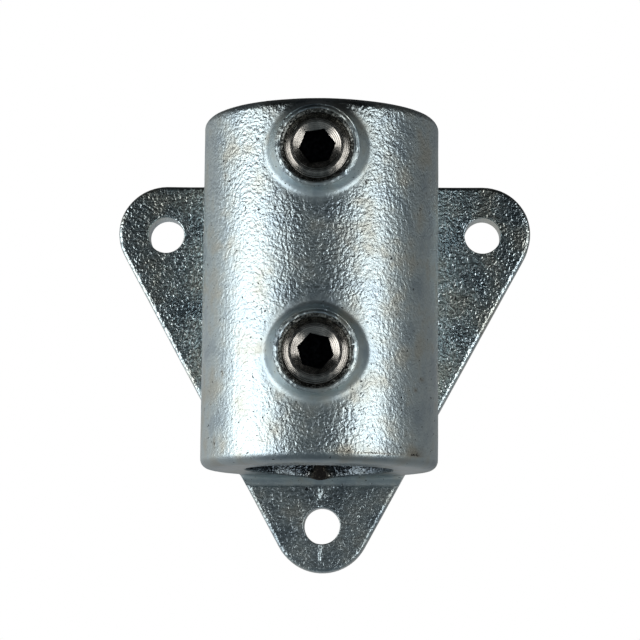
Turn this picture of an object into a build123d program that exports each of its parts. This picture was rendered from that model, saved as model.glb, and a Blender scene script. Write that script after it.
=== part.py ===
from build123d import *
import os
from math import cos, radians, sqrt, tan

# Stanchion base: a zinc-coated cast socket with a three-hole back plate and two set screws.
# The origin lies on the wall face, in the middle, level with the socket's bottom rim.
# +X is right, +Y points into the wall, and +Z runs up the socket. All sizes are in millimetres.

# Stanchion tube and socket
tube_diameter = 48.3
tube_clearance = 0.5  # on the radius
socket_wall = 5.7
back_wall = 5.35  # between the bore and the wall face
socket_height = 90.4
rim_rounding = 2.6
mouth_rounding = 0.8  # at the bore's top edge
ledge_height = 5.0  # the lip that the tube stands on
ledge_width = 6.05
drain_rounding = 0.5  # at the bottom of the opening inside the lip

# Back plate
plate_thickness = 6.6
bolt_span = 85.2  # between the two upper bolt holes
upper_lobe_depth = 25.1  # from the top rim to the middles of the upper corners
lower_lobe_depth = 12.6  # from the bottom rim to the middle of the lower corner
lobe_radius = 12.9
bolt_hole_diameter = 9.5
bolt_drop = 0.5  # from the middle of each corner down to its hole
bolt_mouth_rounding = 0.4
plate_rounding = 1.2
web_inset = 5.4  # from the socket's widest line in to the side of the web
web_fillet = 2.0
toe_fillet = 2.6  # from the bottom rim to the lower lug

# Bosses and their tapped holes
upper_boss_gap = 0.05  # from the top rim down to the root of the upper boss
lower_boss_gap = 14.05  # from the bottom rim up to the root of the lower boss
boss_height = 2.65  # over the socket's front
boss_wall = 1.95  # round the thread, at the boss's face
boss_draft = 24.0  # degrees, the slope of the boss's side
boss_spread = 3.0  # from the boss's face out to where its root is buried
boss_fillet = 2.4
boss_rounding = 0.5
thread_mouth_chamfer = 0.85
thread_clearance = 0.05  # on the radius

# Set screws
screw_diameter = 16.6
screw_recess = 0.5  # below the boss's face
screw_setback = 0.3  # from the bore's wall back to the screw's point
face_chamfer = 1.7
face_slope = 30.0  # degrees, of the chamfer, from the screw's face
point_chamfer = 1.9
key_size = 8.0  # across the flats of the hexagon
key_depth = 4.2
key_mouth_lip = 1.3  # from the hexagon's corners to the edge of the mouth
key_mouth_slope = 30.0  # degrees, from the screw's face
cup_diameter = 9.0
cup_floor_diameter = 3.0
cup_depth = 0.9
key_turns = {"lower_set_screw": -13.0, "upper_set_screw": 8.5}

# Worked out from the sizes above
bore_radius = tube_diameter / 2 + tube_clearance
socket_radius = bore_radius + socket_wall
axis_offset = bore_radius + back_wall
drain_radius = bore_radius - ledge_width
upper_lobe_height = socket_height - upper_lobe_depth
plate_top = upper_lobe_height + lobe_radius
web_side = socket_radius - web_inset
web_depth = axis_offset - sqrt(socket_radius**2 - web_side**2)
lobe_places = [
    (-bolt_span / 2, upper_lobe_height),
    (bolt_span / 2, upper_lobe_height),
    (0, -lower_lobe_depth),
]
bolt_places = [(x, height - bolt_drop) for x, height in lobe_places]
screw_radius = screw_diameter / 2
thread_radius = screw_radius + thread_clearance
boss_radius = thread_radius + boss_wall
boss_reach = socket_radius + boss_height
boss_depth = boss_reach - sqrt(socket_radius**2 - (boss_radius + boss_spread) ** 2)
boss_root = boss_radius + boss_depth * tan(radians(boss_draft))
screw_heights = {
    "lower_set_screw": lower_boss_gap + boss_root,
    "upper_set_screw": socket_height - upper_boss_gap - boss_root,
}
screw_places = [(0, height) for height in screw_heights.values()]
key_corner_radius = key_size / 2 / cos(radians(30))
key_mouth_radius = key_corner_radius + key_mouth_lip
key_mouth_depth = (key_mouth_radius - key_size / 2) * tan(radians(key_mouth_slope))
point_reach = bore_radius + screw_setback
screw_length = boss_reach - screw_recess - point_reach

wall = Plane.XZ
plate_front = wall.offset(plate_thickness)
boss_front = wall.offset(axis_offset + boss_reach)
screw_front = wall.offset(axis_offset + boss_reach - screw_recess)

os.makedirs("parts", exist_ok=True)

# The plate's outline is a tight band round three equal discs.
with BuildSketch() as outline:
    with Locations(*lobe_places):
        Circle(lobe_radius)
    make_hull()

# The metal between plate and socket: a web that backs the flanks, and a toe under the rim.
with BuildPart() as web:
    with BuildSketch():
        with BuildLine():
            foot = (web_side + web_fillet, -plate_thickness)
            side = (web_side, -plate_thickness - web_fillet)
            back = Polyline((0, 0), (foot[0], 0), foot)
            RadiusArc(foot, side, -web_fillet)
            Polyline(side, (web_side, -web_depth), (0, -web_depth))
            mirror(about=Plane.YZ)
        make_face()
    extrude(amount=plate_top)
    with BuildSketch(Plane.YZ):
        with BuildLine():
            heel = (-plate_thickness - toe_fillet, 0)
            tip = (-plate_thickness, -toe_fillet)
            RadiusArc(heel, tip, toe_fillet)
            Polyline(tip, (0, -toe_fillet), (0, 0), heel)
        make_face()
    extrude(amount=web_side, both=True)
    with BuildSketch(wall):
        add(outline.sketch)
    extrude(amount=axis_offset, mode=Mode.INTERSECT)

with BuildPart() as plate:
    with BuildSketch(wall):
        add(outline.sketch)
    extrude(amount=plate_thickness)
    fillet(plate.faces().sort_by(Axis.Y)[0].edges(), plate_rounding)

# Two bosses with drafted sides, rounded at their faces.
with BuildPart() as bosses:
    with BuildSketch(boss_front):
        with Locations(*screw_places):
            Circle(boss_radius)
    extrude(amount=-boss_depth, taper=-boss_draft)
    fillet(bosses.edges().group_by(Axis.Y)[0], boss_rounding)

with BuildPart() as casting:
    # The socket is rounded at both rims, then the bosses are blended into its front.
    with BuildSketch():
        with Locations((0, -axis_offset)):
            Circle(socket_radius)
    extrude(amount=socket_height)
    fillet(casting.edges().group_by(Axis.Z)[-1], rim_rounding)
    fillet(casting.edges().group_by(Axis.Z)[0], rim_rounding)
    add(bosses.part)
    fillet(casting.edges().filter_by(GeomType.BSPLINE), boss_fillet)

    # The plate and the metal behind the socket's flanks, all cut flat at the wall.
    add(web.part)
    add(plate.part)
    split(bisect_by=wall, keep=Keep.TOP)

    # The bore stops at a lip, which leaves a smaller drain opening through the bottom.
    with BuildSketch(Plane.XY.offset(ledge_height)):
        with Locations((0, -axis_offset)):
            Circle(bore_radius)
    extrude(amount=socket_height - ledge_height, mode=Mode.SUBTRACT)
    with BuildSketch():
        with Locations((0, -axis_offset)):
            Circle(drain_radius)
    extrude(amount=ledge_height, mode=Mode.SUBTRACT)
    circles = casting.edges().filter_by(GeomType.CIRCLE)
    fillet(circles.group_by(Axis.Z)[-1].sort_by(SortBy.RADIUS)[0], mouth_rounding)
    level_circles = circles.filter_by_position(Axis.Z, -drain_rounding, drain_rounding)
    fillet(level_circles.sort_by(SortBy.RADIUS)[0], drain_rounding)

    # Tapped holes for the set screws, and bolt holes through the plate.
    with Locations(boss_front):
        with Locations(*screw_places):
            CounterSinkHole(thread_radius, thread_radius + thread_mouth_chamfer, boss_reach, 90)
    with Locations(plate_front):
        with Locations(*bolt_places):
            Hole(bolt_hole_diameter / 2, plate_thickness)
    plate_circles = casting.edges().filter_by(GeomType.CIRCLE).filter_by_position(
        Axis.Y, -plate_thickness, -plate_thickness
    )
    fillet(plate_circles.group_by(SortBy.RADIUS)[0], bolt_mouth_rounding)
casting.part.label = "socket_casting"
export_step(casting.part, "parts/socket_casting.step")

# Each set screw is one turned piece with a hexagon socket in front and a cup point behind.
# Its thread is a plain cylinder. The point stands just clear of the bore.
for name, height in screw_heights.items():
    with BuildPart() as screw:
        with BuildSketch(screw_front):
            with Locations((0, height)):
                Circle(screw_radius)
        extrude(amount=-screw_length)
        face = screw.faces().sort_by(Axis.Y)[0]
        face_drop = face_chamfer * tan(radians(face_slope))
        chamfer(face.edges(), face_chamfer, face_drop, reference=face)
        chamfer(screw.edges().group_by(Axis.Y)[-1], point_chamfer)
        with BuildSketch(screw_front):
            with Locations((0, height)):
                RegularPolygon(key_corner_radius, 6, rotation=key_turns[name])
        extrude(amount=-key_depth, mode=Mode.SUBTRACT)
        with Locations(screw_front):
            with Locations((0, height, 0)):
                Cone(
                    key_size / 2,
                    key_mouth_radius,
                    key_mouth_depth,
                    align=(Align.CENTER, Align.CENTER, Align.MAX),
                    mode=Mode.SUBTRACT,
                )
            with Locations((0, height, -screw_length)):
                Cone(
                    cup_diameter / 2,
                    cup_floor_diameter / 2,
                    cup_depth,
                    align=(Align.CENTER, Align.CENTER, Align.MIN),
                    mode=Mode.SUBTRACT,
                )
    screw.part.label = name
    export_step(screw.part, f"parts/{name}.step")
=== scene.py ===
import math
import bpy
import bmesh
from mathutils import Matrix, Vector, noise


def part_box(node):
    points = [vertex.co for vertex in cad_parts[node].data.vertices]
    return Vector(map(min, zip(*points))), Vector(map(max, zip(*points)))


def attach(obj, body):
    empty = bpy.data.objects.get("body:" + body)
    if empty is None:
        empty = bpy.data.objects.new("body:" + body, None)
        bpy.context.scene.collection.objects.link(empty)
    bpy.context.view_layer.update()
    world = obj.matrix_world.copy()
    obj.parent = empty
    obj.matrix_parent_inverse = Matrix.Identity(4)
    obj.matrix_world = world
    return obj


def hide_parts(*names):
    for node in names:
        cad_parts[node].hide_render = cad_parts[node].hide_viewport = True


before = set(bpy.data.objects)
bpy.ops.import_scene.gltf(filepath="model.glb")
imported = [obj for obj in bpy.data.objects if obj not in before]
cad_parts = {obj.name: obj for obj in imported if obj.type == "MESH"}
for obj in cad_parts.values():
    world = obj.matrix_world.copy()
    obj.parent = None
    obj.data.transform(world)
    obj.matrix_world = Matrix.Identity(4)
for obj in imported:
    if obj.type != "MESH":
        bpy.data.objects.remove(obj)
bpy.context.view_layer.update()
mm = 0.001
socketAxisY = -30.0 * mm       # the tube's axis stands this far in front of the wall face
mergeDistance = 0.001 * mm
tolerance = 0.01 * mm          # of the tests that pick points by their place
noiseSpan = {"From_Min": 0.3, "From_Max": 0.7}   # most of what a noise gives lies in here


def linear(hexColour):
    # sRGB hex to the linear colour that the sockets take
    parts = [int(hexColour[i:i + 2], 16) / 255 for i in (1, 3, 5)]
    return tuple([c / 12.92 if c <= 0.04045 else ((c + 0.055) / 1.055) ** 2.4 for c in parts] + [1.0])


def addNode(tree, kind, settings=None, **links):
    # one node with its settings and links; a link is a value or a (node, output) pair,
    # i3 is the input of that number, and stops are the places and colours of a colour ramp;
    # a colour mix takes its colours on i6 and i7 and gives its result on output 2
    node = tree.nodes.new(kind)
    for key, value in (settings or {}).items():
        if key != "stops":
            setattr(node, key, value)
            continue
        elements = node.color_ramp.elements
        for k, (place, colour) in enumerate(value):
            element = elements[k] if k < len(elements) else elements.new(place)
            element.position = place
            element.color = linear(colour) if isinstance(colour, str) else (colour, colour, colour, 1.0)
    for key, value in links.items():
        numbered = key[0] == "i" and key[1:].isdigit()
        socket = node.inputs[int(key[1:]) if numbered else key.replace("_", " ")]
        if isinstance(value, tuple) and isinstance(value[0], bpy.types.Node):
            tree.links.new(value[0].outputs[value[1]], socket)
        else:
            socket.default_value = value
    return node


def newMaterial(name):
    material = bpy.data.materials.new(name)
    material.use_nodes = True
    material.node_tree.nodes.clear()
    return material, material.node_tree


def smoothStep(low, high, value):
    t = min(1.0, max(0.0, (value - low) / (high - low)))
    return t * t * (3 - 2 * t)


def galvanisedIron():
    # malleable iron, sand cast and hot dip galvanised: a bright zinc skin that runs thin and crisp
    # over the sand's pebbles, and pools smooth in the hollows
    zinc = {
        "grain": 0.85 * mm,       # worm-like bumps of the sand mould
        "grit": 0.42 * mm,        # finer sand, drawn as coarse as it shows
        "warp": 2.4 * mm, "warpReach": 1.4 * mm,   # bends the grain into worms
        "swell": 8.0 * mm,        # slow unevenness of the zinc
        "speck": 1.1 * mm,        # small dark pinholes
        "tints": [(0.34, "#aebdc4"), (0.5, "#c2cfd1"), (0.66, "#bfc3bc")],   # cool, plain, warm
        "pinhole": "#3f4242",
        "pinholeEdge": [(0.285, 1.0), (0.32, 0.0)],
        # rust marks, and the painted shadow in the drain's notch, take these colours
        "rustAndShadow": "#1b1612",
        "rustAndShadowHalo": "#968b76",
        "shaded": "#565f66",      # painted shade: down the bore and drain, along the bottom rim, on the lug and above the upper boss
        "rustAndShadowEdge": [(0.30, 0.0), (0.42, 1.0)],
        "haloStrength": 0.75,
        "rustAndShadowMetal": -0.7,        # rust, and the notch's painted shadow, is less metallic
        "rustAndShadowRough": 0.35,        # and rougher
        "roughLow": 0.24,
        "roughHigh": 0.34,
        "satinRough": 0.10,
        "grainHeight": 0.30 * mm,
        "gritHeight": 0.08 * mm,
        "pinholeHeight": -0.25,   # of the grain's height
    }
    material, tree = newMaterial("galvanisedCastIron")
    coords = addNode(tree, "ShaderNodeTexCoord")
    place = (coords, "Object")
    # attributes of the casting's points: grain, satin, painted shade, and rust with the notch's painted
    # shadow
    grainAmount, satin, paintedShade, rustAndShadowAmount = [
        addNode(tree, "ShaderNodeAttribute", {"attribute_name": name})
        for name in ("grainAmount", "satin", "paintedShade", "rustAndShadowAmount")]

    warp = addNode(tree, "ShaderNodeTexNoise", Vector=place, Scale=1 / zinc["warp"], Detail=1.0)
    shift = addNode(tree, "ShaderNodeVectorMath", {"operation": "MULTIPLY_ADD"},
                    i0=(warp, "Color"), i1=(zinc["warpReach"],) * 3, i2=place)
    grain = addNode(tree, "ShaderNodeTexNoise", Vector=(shift, 0), Scale=1 / zinc["grain"], Detail=1.0)
    grit = addNode(tree, "ShaderNodeTexNoise", Vector=place, Scale=1 / zinc["grit"], Detail=1.0)
    swell = addNode(tree, "ShaderNodeTexNoise", Vector=place, Scale=1 / zinc["swell"],
                    Detail=3.0, Roughness=0.55)
    speck = addNode(tree, "ShaderNodeTexNoise", Vector=(shift, 0), Scale=1 / zinc["speck"],
                    Detail=2.0, Roughness=0.6)
    speckMask = addNode(tree, "ShaderNodeValToRGB", {"stops": zinc["pinholeEdge"]}, Fac=(speck, "Fac"))

    tint = addNode(tree, "ShaderNodeValToRGB", {"stops": zinc["tints"]}, Fac=(swell, "Fac"))
    pitted = addNode(tree, "ShaderNodeMix", {"data_type": "RGBA"},
                     i0=(speckMask, "Color"), i6=(tint, "Color"), i7=linear(zinc["pinhole"]))
    shaded = addNode(tree, "ShaderNodeMix", {"data_type": "RGBA"},
                     i0=(paintedShade, "Fac"), i6=(pitted, 2), i7=linear(zinc["shaded"]))
    halo = addNode(tree, "ShaderNodeMath", {"operation": "MULTIPLY", "use_clamp": True},
                   i0=(rustAndShadowAmount, "Fac"), i1=zinc["haloStrength"])
    haloed = addNode(tree, "ShaderNodeMix", {"data_type": "RGBA"},
                        i0=(halo, 0), i6=(shaded, 2), i7=linear(zinc["rustAndShadowHalo"]))
    rustAndShadowEdge = addNode(tree, "ShaderNodeMath", {"operation": "MULTIPLY"},
                       i0=(rustAndShadowAmount, "Fac"), i1=(grit, "Fac"))
    rustAndShadowMask = addNode(tree, "ShaderNodeValToRGB", {"stops": zinc["rustAndShadowEdge"]}, Fac=(rustAndShadowEdge, 0))
    colour = addNode(tree, "ShaderNodeMix", {"data_type": "RGBA"},
                     i0=(rustAndShadowMask, "Color"), i6=(haloed, 2), i7=linear(zinc["rustAndShadow"]))
    metal = addNode(tree, "ShaderNodeMath", {"operation": "MULTIPLY_ADD"},
                    i0=(rustAndShadowMask, "Color"), i1=zinc["rustAndShadowMetal"], i2=1.0)

    rough = addNode(tree, "ShaderNodeMapRange", Value=(swell, "Fac"), **noiseSpan,
                    To_Min=zinc["roughLow"], To_Max=zinc["roughHigh"])
    softer = addNode(tree, "ShaderNodeMath", {"operation": "MULTIPLY_ADD"},
                     i0=(satin, "Fac"), i1=zinc["satinRough"], i2=(rough, 0))
    rougher = addNode(tree, "ShaderNodeMath", {"operation": "MULTIPLY_ADD"},
                      i0=(rustAndShadowMask, "Color"), i1=zinc["rustAndShadowRough"], i2=(softer, 0))

    gritty = addNode(tree, "ShaderNodeMath", {"operation": "MULTIPLY_ADD"},
                     i0=(grit, "Fac"), i1=zinc["gritHeight"] / zinc["grainHeight"], i2=(grain, "Fac"))
    pinned = addNode(tree, "ShaderNodeMath", {"operation": "MULTIPLY_ADD"},
                     i0=(speckMask, "Color"), i1=zinc["pinholeHeight"], i2=(gritty, 0))
    height = addNode(tree, "ShaderNodeMath", {"operation": "MULTIPLY"},
                     i0=(pinned, 0), i1=(grainAmount, "Fac"))
    bump = addNode(tree, "ShaderNodeBump", Height=(height, 0), Distance=zinc["grainHeight"], Strength=1.0)

    skin = addNode(tree, "ShaderNodeBsdfPrincipled", Base_Color=(colour, 2), Metallic=(metal, 0),
                   Roughness=(rougher, 0), Normal=(bump, 0))
    addNode(tree, "ShaderNodeOutputMaterial", Surface=(skin, 0))
    return material


def tappedIron():
    # iron cut by the tap after dipping: torn metal with bright burrs, its dark tint painted shade of the
    # narrow gap round the screw
    cut = {"tear": 0.5 * mm, "height": 0.12 * mm, "rough": 0.42,
           "tints": [(0.44, "#2b2d2c"), (0.66, "#969994")]}   # painted gap shade on torn metal, burr
    material, tree = newMaterial("tappedIron")
    coords = addNode(tree, "ShaderNodeTexCoord")
    tear = addNode(tree, "ShaderNodeTexNoise", Vector=(coords, "Object"), Scale=1 / cut["tear"],
                   Detail=3.0, Roughness=0.6)
    colour = addNode(tree, "ShaderNodeValToRGB", {"stops": cut["tints"]}, Fac=(tear, "Fac"))
    bump = addNode(tree, "ShaderNodeBump", Height=(tear, "Fac"), Distance=cut["height"], Strength=1.0)
    torn = addNode(tree, "ShaderNodeBsdfPrincipled", Base_Color=(colour, "Color"), Metallic=1.0,
                   Roughness=cut["rough"], Normal=(bump, 0))
    addNode(tree, "ShaderNodeOutputMaterial", Surface=(torn, 0))
    return material


def turnedSteel(name, centreZ):
    # case hardened steel, turned and oiled: fine lathe rings that catch the light in arcs
    steel = {"ring": 0.44 * mm, "ringHeight": 0.03 * mm, "smear": 1.6 * mm,
             "tints": [(0.35, "#a09c95"), (0.62, "#c6c1b9")], "roughLow": 0.17, "roughHigh": 0.3}
    material, tree = newMaterial(name)
    coords = addNode(tree, "ShaderNodeTexCoord")
    centred = addNode(tree, "ShaderNodeMapping", Vector=(coords, "Object"), Location=(0, 0, -centreZ))
    parts = addNode(tree, "ShaderNodeSeparateXYZ", Vector=(centred, 0))
    flat = addNode(tree, "ShaderNodeCombineXYZ", X=(parts, "X"), Z=(parts, "Z"))
    radius = addNode(tree, "ShaderNodeVectorMath", {"operation": "LENGTH"}, i0=(flat, 0))
    turns = addNode(tree, "ShaderNodeMath", {"operation": "MULTIPLY"},
                    i0=(radius, "Value"), i1=2 * math.pi / steel["ring"])
    rings = addNode(tree, "ShaderNodeMath", {"operation": "SINE"}, i0=(turns, 0))
    smear = addNode(tree, "ShaderNodeTexNoise", Vector=(coords, "Object"), Scale=1 / steel["smear"],
                    Detail=3.0)
    colour = addNode(tree, "ShaderNodeValToRGB", {"stops": steel["tints"]}, Fac=(smear, "Fac"))
    rough = addNode(tree, "ShaderNodeMapRange", Value=(smear, "Fac"), **noiseSpan,
                    To_Min=steel["roughLow"], To_Max=steel["roughHigh"])
    bump = addNode(tree, "ShaderNodeBump", Height=(rings, 0), Distance=steel["ringHeight"], Strength=0.7)
    turned = addNode(tree, "ShaderNodeBsdfPrincipled", Base_Color=(colour, "Color"), Metallic=1.0,
                     Roughness=(rough, 0), Normal=(bump, 0))
    addNode(tree, "ShaderNodeOutputMaterial", Surface=(turned, 0))
    return material


def oxideAndShadeSteel():
    # steel left with its black quench oxide and a trace of oil, down in the key socket, made near black as
    # painted shade of the deep socket
    oxideAndShade = {"film": 0.9 * mm, "filmHeight": 0.02 * mm, "tints": [(0.4, "#0d0e12"), (0.7, "#24262a")],
             "roughLow": 0.3, "roughHigh": 0.45}
    material, tree = newMaterial("blackOxideAndShadeSteel")
    coords = addNode(tree, "ShaderNodeTexCoord")
    film = addNode(tree, "ShaderNodeTexNoise", Vector=(coords, "Object"), Scale=1 / oxideAndShade["film"],
                   Detail=3.0)
    colour = addNode(tree, "ShaderNodeValToRGB", {"stops": oxideAndShade["tints"]}, Fac=(film, "Fac"))
    rough = addNode(tree, "ShaderNodeMapRange", Value=(film, "Fac"), **noiseSpan,
                    To_Min=oxideAndShade["roughLow"], To_Max=oxideAndShade["roughHigh"])
    bump = addNode(tree, "ShaderNodeBump", Height=(film, "Fac"), Distance=oxideAndShade["filmHeight"], Strength=0.5)
    black = addNode(tree, "ShaderNodeBsdfPrincipled", Base_Color=(colour, "Color"), Metallic=1.0,
                    Roughness=(rough, 0), Normal=(bump, 0))
    addNode(tree, "ShaderNodeOutputMaterial", Surface=(black, 0))
    return material


def paleFloor():
    # matt painted studio floor, with a little light of its own where the soft boxes don't reach
    paint = {"mottle": 60 * mm, "tints": [(0.3, "#d9d6cd"), (0.7, "#dedbd3")], "rough": 0.75, "glow": 0.7}
    material, tree = newMaterial("mattPaintedFloor")
    coords = addNode(tree, "ShaderNodeTexCoord")
    mottle = addNode(tree, "ShaderNodeTexNoise", Vector=(coords, "Object"), Scale=1 / paint["mottle"],
                     Detail=2.0)
    colour = addNode(tree, "ShaderNodeValToRGB", {"stops": paint["tints"]}, Fac=(mottle, "Fac"))
    matt = addNode(tree, "ShaderNodeBsdfPrincipled", Base_Color=(colour, "Color"), Roughness=paint["rough"],
                   Emission_Color=(colour, "Color"), Emission_Strength=paint["glow"])
    addNode(tree, "ShaderNodeOutputMaterial", Surface=(matt, 0))
    return material


def meshPiece(name, bm, materials):
    mesh = bpy.data.meshes.new(name)
    bm.to_mesh(mesh)
    bm.free()
    piece = bpy.data.objects.new(name, mesh)
    bpy.context.scene.collection.objects.link(piece)
    for material in materials:
        mesh.materials.append(material)
    return piece


def zincLip(faceY, centreZ):
    # the ragged lip that the zinc leaves round a tapped hole: a long outer flank and a steep inner one
    lip = {
        "outer": 10.45 * mm, "crest": 9.5 * mm, "inner": 9.12 * mm, "height": 0.42 * mm,
        "shoulder": 0.15 * mm, "shoulderDrop": 0.06 * mm, "brink": 0.05 * mm, "brinkDrop": 0.12 * mm,
        "foot": 0.5 * mm,             # buried in the boss's face
        "wave": 0.8 * mm, "fineWave": 2.3, "fineShare": 0.6, "waveShift": (5, 1, 9),
        "raggedHeight": 0.13 * mm, "raggedWidth": 0.16 * mm, "steps": 160,
    }
    root = faceY + lip["height"]
    section = [(lip["outer"], root), (lip["crest"] + lip["shoulder"], faceY + lip["shoulderDrop"]),
               (lip["crest"], faceY), (lip["inner"] + lip["brink"], faceY + lip["brinkDrop"]),
               (lip["inner"], root), (lip["inner"], root + lip["foot"]), (lip["outer"], root + lip["foot"])]
    bm = bmesh.new()
    verts = [bm.verts.new((r, y, centreZ)) for r, y in section]
    edges = [bm.edges.new(pair) for pair in zip(verts, verts[1:] + verts[:1])]
    bmesh.ops.spin(bm, geom=verts + edges, cent=(0, 0, centreZ), axis=(0, 1, 0), angle=2 * math.pi,
                   steps=lip["steps"], use_merge=True)
    bmesh.ops.remove_doubles(bm, verts=bm.verts, dist=mergeDistance)
    bmesh.ops.recalc_face_normals(bm, faces=bm.faces)
    for v in bm.verts:
        if v.co.y > root - tolerance:
            continue
        pull = noise.noise(v.co / lip["wave"])
        pull += lip["fineShare"] * noise.noise(v.co / lip["wave"] * lip["fineWave"])
        v.co.y = max(faceY, v.co.y + lip["raggedHeight"] * (0.5 + pull))
        r = math.hypot(v.co.x, v.co.z - centreZ)
        grow = 1 + lip["raggedWidth"] * noise.noise(v.co / lip["wave"] + Vector(lip["waveShift"])) / r
        v.co.x *= grow
        v.co.z = centreZ + (v.co.z - centreZ) * grow
    mesh = bpy.data.meshes.new("zincLip")
    bm.to_mesh(mesh)
    bm.free()
    return mesh


# Settings of the casting. Depths are from the wall face, heights from the bottom rim, and widths
# from the middle, unless a note says otherwise.
casting = {
    "cut": 2.8 * mm,                  # spacing of the cuts that give the skin its points
    "swellSize": 9.0 * mm, "swellDepth": 0.09 * mm,
    "dimpleSize": 4.5 * mm, "dimpleDepth": 0.06 * mm, "dimpleShift": (7, 3, 1),
    "flatBack": -0.02 * mm,           # the wall face, behind this, isn't sunk with the skin
    "faceSunk": 0.42 * mm,            # the boss faces lie this far below the lip's crest
    "faceReach": 0.1 * mm,            # and take in the points this close behind them
    "bossDepth": -50 * mm,            # the bosses stand in front of this
    "frontDepth": -40 * mm,           # and the rust marks of the socket in front of this
    "barrelDepth": -9 * mm,           # the socket's own skin starts here
    "barrelRadius": 26 * mm,
    "boreRadius": 25.6 * mm, "boreSpan": (0.4 * mm, 89.5 * mm),
    "drainRadius": 18.6 * mm,
    "tappedRadius": 9.15 * mm,
    "sharp": 38.0,                    # degrees

    # parting line, down the lug on both sides of its bolt hole
    "ridgeX": -0.4 * mm, "ridgeWidth": 0.4 * mm, "ridgeHeight": 0.32 * mm,
    "ridgeWander": 0.7 * mm, "ridgeTurns": 4 * mm,
    "ridgeTop": (-3.6 * mm, -2.9 * mm), "ridgeBreak": -10 * mm,
    "ridgeBack": (-18.4 * mm, -17.6 * mm), "ridgeEnd": (-24.4 * mm, -23.2 * mm),
    "ridgeFaint": 0.5, "ridgeNarrow": 0.7,      # what is left of it below the hole
    "plateFront": -6 * mm, "ridgeDepth": -10 * mm,

    # the drain's rear edge sags, and has a notch
    "notchX": -0.4 * mm, "notchWidth": 2.2 * mm, "notchDepth": 0.65 * mm,
    "sagWidth": 8.5 * mm, "sagDepth": 0.85 * mm,
    "sagRear": -8.6 * mm, "sagTop": (0.3 * mm, 3.5 * mm), "edgeTop": 4 * mm,

    # where the skin gets more points
    "ridgeBox": (4.2 * mm, 1 * mm), "drainBox": (8 * mm, 3.5 * mm), "drainLead": 1.5 * mm,
    "markBorder": 1.6 * mm, "firstSmallMark": 3, "markBottom": 3 * mm,
    "ridgeCuts": 4, "detailCuts": 2,

    # rust marks on the front: x, z, half width, half height, in mm
    "rustMarks": ((15.0, 2.5, 10.5, 0.5), (24.3, 2.6, 3.4, 0.7), (7.5, 2.6, 3.0, 0.6),
                  (25.9, 21.8, 1.2, 0.5), (22.4, 15.3, 0.9, 0.5), (24.5, 18.8, 0.5, 0.5),
                  (28.6, 4.2, 0.7, 0.8), (-23.5, 22.6, 0.5, 1.6), (-25.5, 5.0, 0.7, 1.7)),
    "rustStrength": 0.78, "rustCore": 0.2,
    # the drain's notch gets painted shadow in the rust colour
    "notchShadow": 1.4, "notchSpread": (1.2, 0.7), "notchFade": (-0.5 * mm, 2.5 * mm), "notchTop": 5 * mm,
    "notchReach": 0.5 * mm,           # past the drain's radius

    # strength of the sand grain, satin of the thicker zinc, and painted shade
    "plateGrain": 1.05,
    "lugTop": -2.2 * mm, "lugGrain": 0.95, "lugSatin": 0.9, "lugShade": 0.3,
    "barrelGrain": 0.53,
    "upperGrain": 0.6, "upperSpan": (45 * mm, 80 * mm),       # coarser toward the top
    "sideCalm": 0.15, "sideSpan": (20 * mm, 27 * mm),         # finer at the sides
    "frontGrain": 0.65, "frontSpan": (4 * mm, 12 * mm),       # coarser between the bosses
    "poolSpan": (11.9 * mm, 15.0 * mm), "poolCalm": 0.9,      # the zinc pools smooth round a boss
    "capSpan": (7 * mm, 10 * mm), "capSides": (10 * mm, 16 * mm),   # over the upper screw's middle
    "capGrain": 0.7, "capCrisp": 1.4, "capShade": 0.6,
    "lipDepth": 0.6 * mm, "lipGrain": 0.25,                   # behind the lip's crest
    "topSpan": (89.0 * mm, 90.0 * mm), "topRadius": 25 * mm, "topCalm": 0.5,
    "rimHeight": 2.6 * mm, "rimRadius": 19 * mm, "rimSpan": (1.2 * mm, 2.8 * mm),
    "rimCalm": 0.85, "rimSatin": 0.6, "rimShade": 0.45,
    "toeDepths": (-9.3 * mm, -6.0 * mm), "toeHeights": (-2.6 * mm, 0.4 * mm),
    "toeGrain": 0.3, "toeSatin": 1.6,
    "boreFade": (24.9 * mm, 25.6 * mm), "drainShade": 0.8, "drainBorder": 0.4 * mm,
}
castingLow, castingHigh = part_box("socket_casting")
screwZ = [sum(v.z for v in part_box(n)) / 2 for n in ("upper_set_screw", "lower_set_screw")]
bossFaceY = castingLow.y
drainRearY = socketAxisY + casting["drainRadius"]
rustMarks = [[value * mm for value in mark] for mark in casting["rustMarks"]]


def fromScrew(p):
    return min(math.hypot(p.x, p.z - z) for z in screwZ)


def fromTubeAxis(p):
    return math.hypot(p.x, p.y - socketAxisY)


def isTapped(p):
    return fromScrew(p) < casting["tappedRadius"] and p.y < casting["bossDepth"]


def nearRidge(p):
    halfWidth, top = casting["ridgeBox"]
    return abs(p.x) < halfWidth and p.z < top and casting["ridgeDepth"] < p.y < casting["plateFront"]


def nearDetail(p):
    # round the drain's rear edge, or a small rust mark
    halfWidth, halfHeight = casting["drainBox"]
    if (abs(p.x) < halfWidth and abs(p.z) < halfHeight
            and drainRearY - casting["drainLead"] < p.y < casting["plateFront"]):
        return True
    border = casting["markBorder"]
    return p.y < casting["frontDepth"] and p.z > casting["markBottom"] and any(
        abs(p.x - x) < w + border and abs(p.z - z) < h + border
        for x, z, w, h in rustMarks[casting["firstSmallMark"]:])


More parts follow.
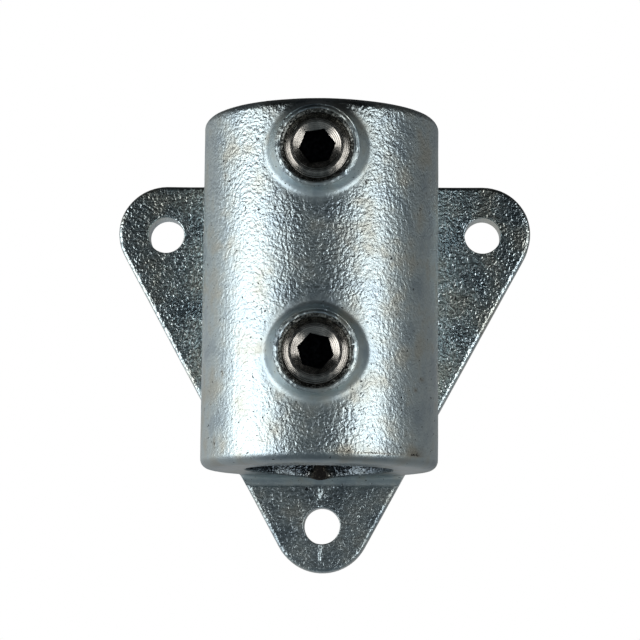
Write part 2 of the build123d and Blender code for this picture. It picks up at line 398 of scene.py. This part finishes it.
def cutForSkin(bm):
    for axis in range(3):
        normal = Vector([1.0 if i == axis else 0.0 for i in range(3)])
        start, length = castingLow[axis], castingHigh[axis] - castingLow[axis]
        count = round(length / casting["cut"])
        for k in range(1, count):
            bmesh.ops.bisect_plane(bm, geom=bm.verts[:] + bm.edges[:] + bm.faces[:], plane_no=normal,
                                   plane_co=normal * (start + length * k / count),
                                   dist=0.5 * mergeDistance)
    for inside, cuts in ((nearRidge, casting["ridgeCuts"]), (nearDetail, casting["detailCuts"])):
        near = {v for v in bm.verts if inside(v.co)}
        edges = [e for e in bm.edges if e.verts[0] in near and e.verts[1] in near]
        bmesh.ops.subdivide_edges(bm, edges=edges, cuts=cuts, use_grid_fill=True)
    bmesh.ops.triangulate(bm, faces=[f for f in bm.faces if len(f.verts) > 4])
    bm.normal_update()
    print("casting cut for its skin:", len(bm.faces), "faces")


def sinkSkin(bm):
    # the skin sinks a little into the metal, never past the moulded size
    moved = []
    for v in bm.verts:
        p = v.co
        if p.y > casting["flatBack"] or isTapped(p):
            continue
        wide = 0.5 + 0.5 * noise.noise(p / casting["swellSize"])
        close = 0.5 + 0.5 * noise.noise(p / casting["dimpleSize"] + Vector(casting["dimpleShift"]))
        depth = casting["swellDepth"] * wide + casting["dimpleDepth"] * close
        if p.y < bossFaceY + casting["faceReach"]:
            depth = casting["faceSunk"]
        moved.append((v, p - v.normal * depth))
    for v, place in moved:
        v.co = place


def shapePartingLine(bm):
    # a low wandering ridge down the lug, and a sagging, notched edge behind the drain; the ridge also
    # draws the wall face's own points in along its line, by up to 0.31 mm
    for v in bm.verts:
        p = v.co
        if casting["plateFront"] < p.y < 0 or p.z > casting["edgeTop"]:
            continue
        if p.y > casting["ridgeDepth"] and p.z < 0:
            wander = noise.noise(Vector((0, 0, p.z / casting["ridgeTurns"])))
            ridgeX = casting["ridgeX"] + casting["ridgeWander"] * wander
            above = 1 - smoothStep(*casting["ridgeTop"], p.z) if p.z > casting["ridgeBreak"] else 0.0
            below = casting["ridgeFaint"] * (1 - smoothStep(*casting["ridgeBack"], p.z))
            below *= smoothStep(*casting["ridgeEnd"], p.z)
            width = casting["ridgeWidth"] * (1.0 if above else casting["ridgeNarrow"])
            p.y -= casting["ridgeHeight"] * (above + below) * math.exp(-((p.x - ridgeX) / width) ** 2)
        if p.y > socketAxisY:
            reach = smoothStep(casting["sagRear"], drainRearY, p.y) if p.y > drainRearY else 1.0
            reach *= 1 - smoothStep(*casting["sagTop"], p.z)
            fromNotch = (p.x - casting["notchX"]) / casting["notchWidth"]
            notch = casting["notchDepth"] * math.exp(-fromNotch ** 2)
            sag = casting["sagDepth"] * math.exp(-(p.x / casting["sagWidth"]) ** 2)
            p.z -= reach * (notch + sag)


def skinOf(p):
    # grain, satin, painted shade, and rust with the notch's painted shadow at a point, which the zinc's
    # material reads
    fromAxis = fromTubeAxis(p)
    grain, satin, shadeLevel, rustAndShadow = casting["plateGrain"], 0.0, 0.0, 0.0
    if p.y < casting["barrelDepth"] and fromAxis > casting["barrelRadius"]:
        grain = casting["barrelGrain"] * (1 + casting["upperGrain"] * smoothStep(*casting["upperSpan"], p.z))
        grain *= 1 - casting["sideCalm"] * smoothStep(*casting["sideSpan"], abs(p.x))
        if p.y < socketAxisY:
            grain *= 1 + casting["frontGrain"] * (1 - smoothStep(*casting["frontSpan"], abs(p.x)))
        satin = 1.0
    elif p.z < casting["lugTop"]:
        # the lug is darkened with a little painted shade
        grain, satin, shadeLevel = casting["lugGrain"], casting["lugSatin"], casting["lugShade"]
    if p.y < casting["bossDepth"]:
        pool = 1 - smoothStep(*casting["poolSpan"], fromScrew(p))
        grain *= 1 - casting["poolCalm"] * pool
        satin += pool
        if p.z > screwZ[0]:   # above the upper boss the skin is more pebbled, with painted shade
            capLow, capHigh = casting["capSpan"]
            cap = smoothStep(screwZ[0] + capLow, screwZ[0] + capHigh, p.z)
            cap *= 1 - smoothStep(*casting["capSides"], abs(p.x))
            grain = max(grain, casting["capGrain"] * cap)
            satin -= casting["capCrisp"] * cap
            shadeLevel = casting["capShade"] * cap
        if p.y < bossFaceY + casting["lipDepth"]:
            grain, satin = casting["lipGrain"], 1.0
    if p.z > casting["topSpan"][0] and fromAxis > casting["topRadius"]:
        grain *= 1 - casting["topCalm"] * smoothStep(*casting["topSpan"], p.z)
    if p.y < casting["barrelDepth"] and p.z < casting["rimHeight"] and fromAxis > casting["rimRadius"]:
        # painted shade along the bottom rim, on the socket's underside
        rim = 1 - smoothStep(*casting["rimSpan"], p.z)
        grain *= 1 - casting["rimCalm"] * rim
        satin += casting["rimSatin"] * rim
        shadeLevel = casting["rimShade"] * rim
    rear, front = casting["toeDepths"]
    foot, head = casting["toeHeights"]
    if rear < p.y < front and foot < p.z < head:   # zinc pooled in the corner between rim and lug
        grain *= casting["toeGrain"]
        satin = casting["toeSatin"]
    bottom, mouth = casting["boreSpan"]
    if fromAxis < casting["boreRadius"] and bottom < p.z < mouth:
        # painted shade down the bore, with the inside's duller zinc
        shadeLevel = 1.0 - smoothStep(*casting["boreFade"], fromAxis)
    elif fromAxis < casting["drainRadius"] + casting["drainBorder"]:
        # painted shade round the drain hole
        shadeLevel = casting["drainShade"]
    if p.y < casting["frontDepth"]:
        for x, z, w, h in rustMarks:
            near = 1 - smoothStep(casting["rustCore"], 1.0, math.hypot((p.x - x) / w, (p.z - z) / h))
            rustAndShadow = max(rustAndShadow, casting["rustStrength"] * near)
    elif (p.y > socketAxisY and fromAxis < casting["drainRadius"] + casting["notchReach"]
            and p.z < casting["notchTop"]):
        # painted shadow in the notch behind the drain, in the rust colour
        wide, narrowing = casting["notchSpread"]
        spread = casting["notchWidth"] * (wide - narrowing * smoothStep(*casting["notchFade"], p.z))
        rustAndShadow = casting["notchShadow"] * math.exp(-((p.x - casting["notchX"]) / spread) ** 2)
    return grain, satin, shadeLevel, rustAndShadow


def castingPiece():
    bm = bmesh.new()
    bm.from_mesh(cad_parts["socket_casting"].data)
    bmesh.ops.remove_doubles(bm, verts=bm.verts, dist=mergeDistance)
    cutForSkin(bm)
    sinkSkin(bm)
    shapePartingLine(bm)
    for z in screwZ:
        lipMesh = zincLip(bossFaceY, z)
        bm.from_mesh(lipMesh)
        bpy.data.meshes.remove(lipMesh)

    names = ("grainAmount", "satin", "paintedShade", "rustAndShadowAmount")
    layers = [bm.verts.layers.float.new(name) for name in names]
    for f in bm.faces:
        f.smooth = True
        f.material_index = 1 if isTapped(f.calc_center_median()) else 0
    for v in bm.verts:
        for layer, value in zip(layers, skinOf(v.co)):
            v[layer] = value
    bm.normal_update()
    for e in bm.edges:
        e.smooth = not (len(e.link_faces) == 2 and e.calc_face_angle(0.0) > math.radians(casting["sharp"]))
    piece = meshPiece("galvanised_casting", bm, [galvanisedIron(), tappedIron()])
    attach(piece, "base")
    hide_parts("socket_casting")
    print("casting made:", sum(len(f.vertices) - 2 for f in piece.data.polygons), "triangles")


def setScrew(name, node, body, hexTurn, oxideAndShade):
    screw = {
        "radius": 8.3 * mm, "pitch": 1.337 * mm, "threadDepth": 0.8 * mm,
        "threadStart": 1.1 * mm, "threadFull": 2.0 * mm,
        "toothSlope": 1.3, "toothLand": 0.15,
        "faceRadius": 6.6 * mm, "faceSlope": 30.0, "pointChamfer": 1.9 * mm,
        "countersink": 5.92 * mm, "countersinkSlope": 30.0,
        "hexFlats": 8.0 * mm, "hexDepth": 4.2 * mm,
        # the key socket's walls and floor keep their black oxide, darkened with painted shade
        "oxideStart": 1.15 * mm, "oxideRadius": 4.7 * mm, "floorReach": 0.1 * mm,
        "cupRadius": 4.5 * mm, "cupFloor": 1.5 * mm, "cupDepth": 0.9 * mm,
        "steps": 96, "ringStep": 0.11 * mm, "sharp": 28.0,
    }
    low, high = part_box(node)
    centre = Vector((0, 0, (low.z + high.z) / 2))
    faceY, tipY = low.y, high.y
    bm = bmesh.new()
    # outline from the edge of the countersink over the rim, along the thread, to the cup's floor
    outline = [(screw["countersink"], faceY), (screw["faceRadius"], faceY)]
    count = round((tipY - faceY) / screw["ringStep"])
    outline += [(screw["radius"], faceY + (tipY - faceY) * k / count) for k in range(1, count)]
    outline += [(screw["radius"] - screw["pointChamfer"], tipY), (screw["cupRadius"], tipY),
                (screw["cupFloor"], tipY - screw["cupDepth"]), (0.0, tipY - screw["cupDepth"])]
    verts = [bm.verts.new((r, y, 0)) for r, y in outline]
    edges = [bm.edges.new(pair) for pair in zip(verts, verts[1:])]
    turn = math.radians(hexTurn)
    bmesh.ops.rotate(bm, verts=verts, cent=(0, 0, 0), matrix=Matrix.Rotation(-turn, 3, "Y"))
    bmesh.ops.spin(bm, geom=verts + edges, cent=(0, 0, 0), axis=(0, 1, 0), angle=2 * math.pi,
                   steps=screw["steps"], use_merge=True)
    bmesh.ops.remove_doubles(bm, verts=bm.verts, dist=mergeDistance)

    # the thread is cut in between the chamfers of the face and of the point
    for v in bm.verts:
        r = math.hypot(v.co.x, v.co.z)
        if r < screw["radius"] - tolerance:
            continue
        along, around = v.co.y - faceY, math.atan2(v.co.z, v.co.x) / (2 * math.pi)
        phase = (along / screw["pitch"] + around) % 1.0
        tooth = min(1.0, max(0.0, screw["toothSlope"] * abs(2 * phase - 1) - screw["toothLand"]))
        started = smoothStep(screw["threadStart"], screw["threadFull"], along)
        wanted = min(screw["radius"] - screw["threadDepth"] * tooth * started,
                     screw["faceRadius"] + along / math.tan(math.radians(screw["faceSlope"])),
                     screw["radius"] - screw["pointChamfer"] + (tipY - v.co.y))
        v.co.x *= wanted / r
        v.co.z *= wanted / r

    # key socket: the countersink's inner edge is drawn in to the hexagon, then pushed down and closed
    mouth = [e for e in bm.edges if e.is_boundary]
    drawn = bmesh.ops.extrude_edge_only(bm, edges=mouth)["geom"]
    for v in [v for v in drawn if isinstance(v, bmesh.types.BMVert)]:
        angle = math.atan2(v.co.z, v.co.x) - turn
        fromFlat = (angle % (math.pi / 3)) - math.pi / 6
        r = screw["hexFlats"] / 2 / math.cos(fromFlat)
        k = r / math.hypot(v.co.x, v.co.z)
        sunk = (screw["countersink"] - r) * math.tan(math.radians(screw["countersinkSlope"]))
        v.co = Vector((v.co.x * k, faceY + sunk, v.co.z * k))
    edges = [e for e in drawn if isinstance(e, bmesh.types.BMEdge)]
    drawn = bmesh.ops.extrude_edge_only(bm, edges=edges)["geom"]
    for v in [v for v in drawn if isinstance(v, bmesh.types.BMVert)]:
        v.co.y = faceY + screw["hexDepth"]
    bmesh.ops.edgeloop_fill(bm, edges=[e for e in drawn if isinstance(e, bmesh.types.BMEdge)])
    bmesh.ops.translate(bm, verts=bm.verts, vec=centre)
    bmesh.ops.remove_doubles(bm, verts=bm.verts, dist=mergeDistance)
    bmesh.ops.recalc_face_normals(bm, faces=bm.faces)
    for f in bm.faces:
        f.smooth = True
        c = f.calc_center_median() - centre
        deep = faceY + screw["oxideStart"] < c.y < faceY + screw["hexDepth"] + screw["floorReach"]
        f.material_index = 1 if deep and math.hypot(c.x, c.z) < screw["oxideRadius"] else 0
    for e in bm.edges:
        e.smooth = e.calc_face_angle(0.0) < math.radians(screw["sharp"])
    piece = meshPiece(name, bm, [turnedSteel(name + "_turnedSteel", centre.z), oxideAndShade])
    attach(piece, body)
    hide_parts(node)
    print(name, "made:", sum(len(f.vertices) - 2 for f in piece.data.polygons), "triangles")


def studio():
    room = {
        # metres, degrees and watts; a lift is the upward part of the way to the light
        "floorDrop": 0.42, "floorRadius": 2.4,
        "leftAngle": 66.0, "leftSpan": 50.0, "leftPower": 5.8, "leftLift": -0.10,
        "rightAngle": 50.0, "rightSpan": 26.0, "rightPower": 3.6, "rightLift": -0.14,
        "distance": 0.9, "height": 0.75, "aimHeight": 45 * mm,
        # brightness of the room, and the directions between which it changes
        "front": 0.045, "backLeft": 0.55, "backRight": 0.23, "above": 0.10, "below": 0.085,
        "sideSpan": (-0.7, 0.7), "behindSpan": (-0.4, 0.3),
        "aboveSpan": (0.1, 0.55), "belowSpan": (-0.45, -0.12),
        "frontTint": "#d2e6f2", "backTint": "#ffffff",
    }
    bm = bmesh.new()
    bmesh.ops.create_circle(bm, cap_ends=True, segments=96, radius=room["floorRadius"])
    bmesh.ops.translate(bm, verts=bm.verts, vec=(0, 0, -room["floorDrop"]))
    floor = meshPiece("studio_floor", bm, [paleFloor()])
    floor.visible_glossy = False   # the floor's glow stays out of the metal
    floor.visible_diffuse = False

    middle = Vector((0, socketAxisY, room["aimHeight"]))
    for name, side in (("left", -1), ("right", 1)):
        light = bpy.data.lights.new(name + "SoftBox", "AREA")
        light.shape = "RECTANGLE"
        light.size = 2 * room["distance"] * math.tan(math.radians(room[name + "Span"] / 2))
        light.size_y = room["height"]
        light.energy = room[name + "Power"]
        lamp = bpy.data.objects.new(name + "SoftBox", light)
        turn = math.radians(room[name + "Angle"])
        toward = Vector((side * math.sin(turn), -math.cos(turn), room[name + "Lift"]))
        lamp.location = middle + toward * room["distance"]
        lamp.rotation_euler = (middle - lamp.location).to_track_quat("-Z", "Y").to_euler()
        lamp.visible_camera = False
        bpy.context.scene.collection.objects.link(lamp)

    # the room is dark toward the front and overhead, pale behind, and paler on the left; a little
    # light comes from below, and the camera sees plain white
    world = bpy.data.worlds.new("paleStudio")
    bpy.context.scene.world = world
    world.use_nodes = True
    tree = world.node_tree
    tree.nodes.clear()
    coords = addNode(tree, "ShaderNodeTexCoord")
    parts = addNode(tree, "ShaderNodeSeparateXYZ", Vector=(coords, "Generated"))
    # each change: its span, its axis, and the values at the span's two ends
    changes = (("sideSpan", "X", room["backLeft"], room["backRight"]), ("behindSpan", "Y", 0.0, 1.0),
               ("aboveSpan", "Z", 1.0, room["above"]), ("belowSpan", "Z", room["below"], 0.0))
    sides, behind, overhead, floorward = [
        addNode(tree, "ShaderNodeMapRange", Value=(parts, axis), From_Min=room[span][0],
                From_Max=room[span][1], To_Min=start, To_Max=end)
        for span, axis, start, end in changes]
    walls = addNode(tree, "ShaderNodeMix", {"data_type": "FLOAT"},
                    i0=(behind, 0), i2=room["front"], i3=(sides, 0))
    dimmed = addNode(tree, "ShaderNodeMath", {"operation": "MULTIPLY"}, i0=(walls, 0), i1=(overhead, 0))
    lifted = addNode(tree, "ShaderNodeMath", {"operation": "ADD"}, i0=(dimmed, 0), i1=(floorward, 0))
    path = addNode(tree, "ShaderNodeLightPath")
    seen = addNode(tree, "ShaderNodeMix", {"data_type": "FLOAT"},
                   i0=(path, "Is Camera Ray"), i2=(lifted, 0), i3=1.0)
    tints = [(0.0, room["frontTint"]), (1.0, room["backTint"])]
    tint = addNode(tree, "ShaderNodeValToRGB", {"stops": tints}, Fac=(behind, 0))
    plain = addNode(tree, "ShaderNodeMix", {"data_type": "RGBA"},
                    i0=(path, "Is Camera Ray"), i6=(tint, "Color"), i7=linear(room["backTint"]))
    back = addNode(tree, "ShaderNodeBackground", Color=(plain, 2), Strength=(seen, 0))
    addNode(tree, "ShaderNodeOutputWorld", Surface=(back, 0))
    bpy.context.scene.view_settings.view_transform = "Standard"
    print("studio lit")


def mainCamera():
    view = {
        "place": (19.5 * mm, -590.0 * mm, -36.5 * mm), "up": 7.64, "turn": 2.0, "roll": 0.49,   # degrees
        "lens": 123.75, "sensor": 36.0,   # mm, as Blender's camera takes them
    }
    data = bpy.data.cameras.new("mainCamera")
    data.sensor_width = view["sensor"]
    data.lens = view["lens"]
    data.clip_start = 0.01
    camera = bpy.data.objects.new("mainCamera", data)
    facing = Matrix.Rotation(math.radians(view["turn"]), 4, "Z")
    facing = facing @ Matrix.Rotation(math.radians(90 + view["up"]), 4, "X")
    facing = facing @ Matrix.Rotation(math.radians(view["roll"]), 4, "Z")
    camera.matrix_world = Matrix.Translation(view["place"]) @ facing
    bpy.context.scene.collection.objects.link(camera)
    bpy.context.scene.camera = camera
    print("camera placed")


castingPiece()
blackOxideAndShade = oxideAndShadeSteel()
# each hexagon stands at its own turn, in degrees
for which, hexTurn in (("upper", 8.5), ("lower", -13.0)):
    setScrew(f"{which}_screw_threaded", f"{which}_set_screw", f"{which}_screw", hexTurn, blackOxideAndShade)
studio()
mainCamera()
